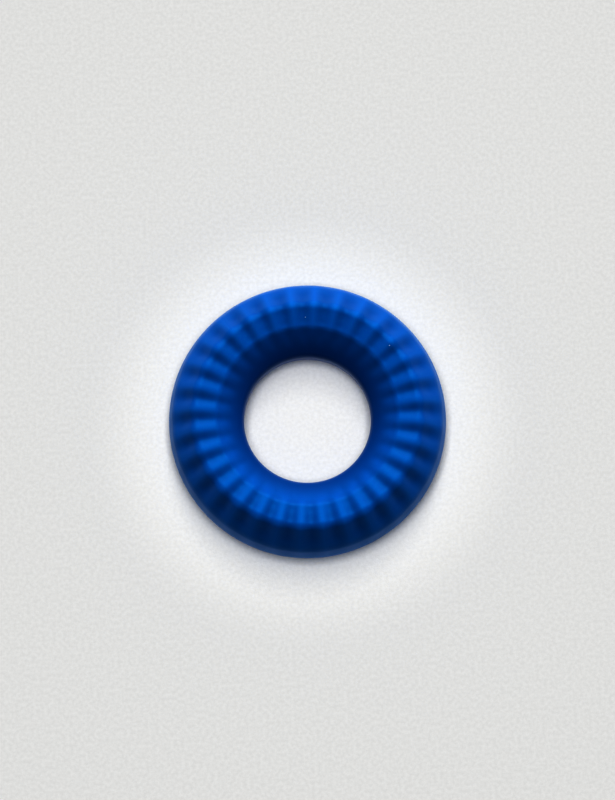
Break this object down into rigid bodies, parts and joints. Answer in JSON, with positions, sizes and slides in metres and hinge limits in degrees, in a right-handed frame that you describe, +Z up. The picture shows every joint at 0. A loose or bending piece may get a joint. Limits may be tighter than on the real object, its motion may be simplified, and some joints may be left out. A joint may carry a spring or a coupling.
{
  "type": "watch case back friction ring",
  "caption": "Soft silicone ring with a rounded section and radial flutes, pressed on a screw-down watch case back and turned by hand to open it.",
  "frame": {"origin": "middle of the ring, at the level of the surface that it rests on", "axes": "+Z up along the ring's axis; +X through a flute, across the ring"},
  "size_m": [0.07, 0.07, 0.0184],
  "materials": {
    "blue_silicone": "satin"
  },
  "bodies": {
    "root": {"friction_ring": "blue_silicone"}
  },
  "joints": []
}
